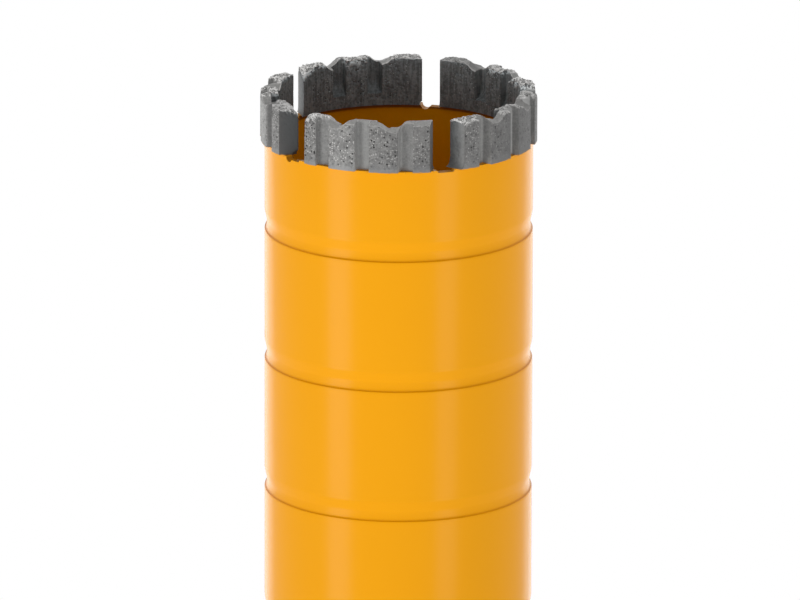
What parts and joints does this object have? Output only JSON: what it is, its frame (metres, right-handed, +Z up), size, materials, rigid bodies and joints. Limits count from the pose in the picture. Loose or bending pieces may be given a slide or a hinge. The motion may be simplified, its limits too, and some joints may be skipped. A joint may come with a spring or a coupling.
{
  "type": "diamond core bit",
  "caption": "Hollow core drill bit: a ring-marked painted steel barrel with wavy, fluted diamond segments on its rim and a threaded coupling at the drive end.",
  "frame": {"origin": "middle of the coupling's end face, on which the bit stands", "axes": "+Z up along the bit's axis to the cutting crown; the first segment faces -Y, turned 15.45 degrees to -X"},
  "size_m": [0.0619, 0.062, 0.2184],
  "materials": {
    "barrel_paint": "semi-gloss",
    "segment_metal": "rough sintered metal with open grains"
  },
  "bodies": {
    "root": {"barrel_tube": "barrel_paint", "end_plate": "barrel_paint", "coupling": "barrel_paint", "diamond_segment_1": "segment_metal", "diamond_segment_2": "segment_metal", "diamond_segment_3": "segment_metal", "diamond_segment_4": "segment_metal", "diamond_segment_5": "segment_metal"}
  },
  "joints": []
}
